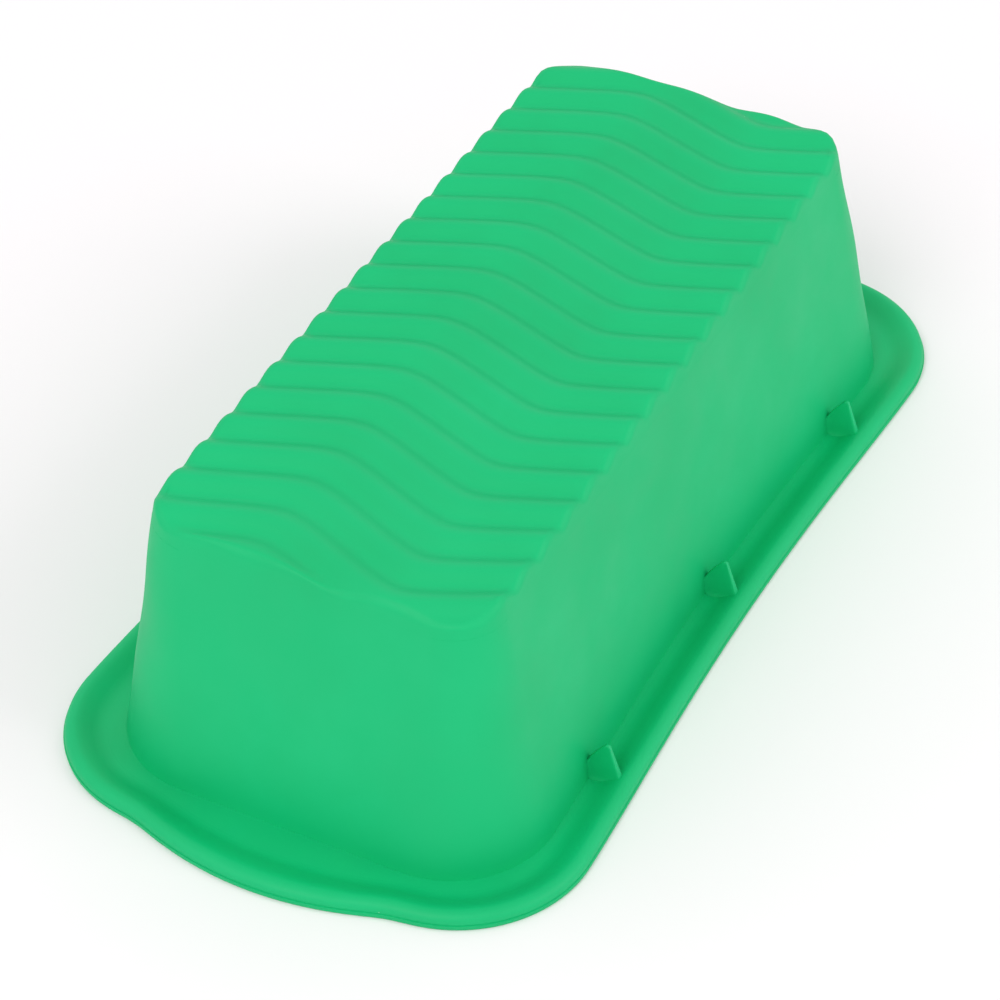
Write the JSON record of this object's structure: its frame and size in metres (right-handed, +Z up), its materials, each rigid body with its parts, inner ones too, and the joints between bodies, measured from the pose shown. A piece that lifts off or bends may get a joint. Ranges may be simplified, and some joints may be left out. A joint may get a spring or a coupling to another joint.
{
  "type": "loaf mould",
  "caption": "Soft loaf mould with drafted walls, a wavy ribbed base, a flat flange with a rounded bead, curved end grips and small upright fins, standing upside down on its rim.",
  "frame": {"origin": "centre of the bounding box in plan, on the plane that the rim rests on", "axes": "+X along the mould towards its far end, +Y across it towards its left side, +Z up from the rim's rest plane to the ribbed base; the mould stands upside down as on a table"},
  "size_m": [0.275, 0.1348, 0.0704],
  "materials": {
    "moulded_silicone": "satin green silicone rubber"
  },
  "bodies": {
    "root": {"ribbed_base": "moulded_silicone", "left_side_wall": "moulded_silicone", "right_side_wall": "moulded_silicone", "near_end_wall": "moulded_silicone", "far_end_wall": "moulded_silicone", "near_left_corner_wall": "moulded_silicone", "near_right_corner_wall": "moulded_silicone", "far_left_corner_wall": "moulded_silicone", "far_right_corner_wall": "moulded_silicone", "flange": "moulded_silicone", "left_side_bead": "moulded_silicone", "right_side_bead": "moulded_silicone", "near_grip_bead": "moulded_silicone", "far_grip_bead": "moulded_silicone", "near_left_corner_bead": "moulded_silicone", "near_right_corner_bead": "moulded_silicone", "far_left_corner_bead": "moulded_silicone", "far_right_corner_bead": "moulded_silicone", "left_fins": "moulded_silicone", "right_fins": "moulded_silicone"}
  },
  "joints": []
}
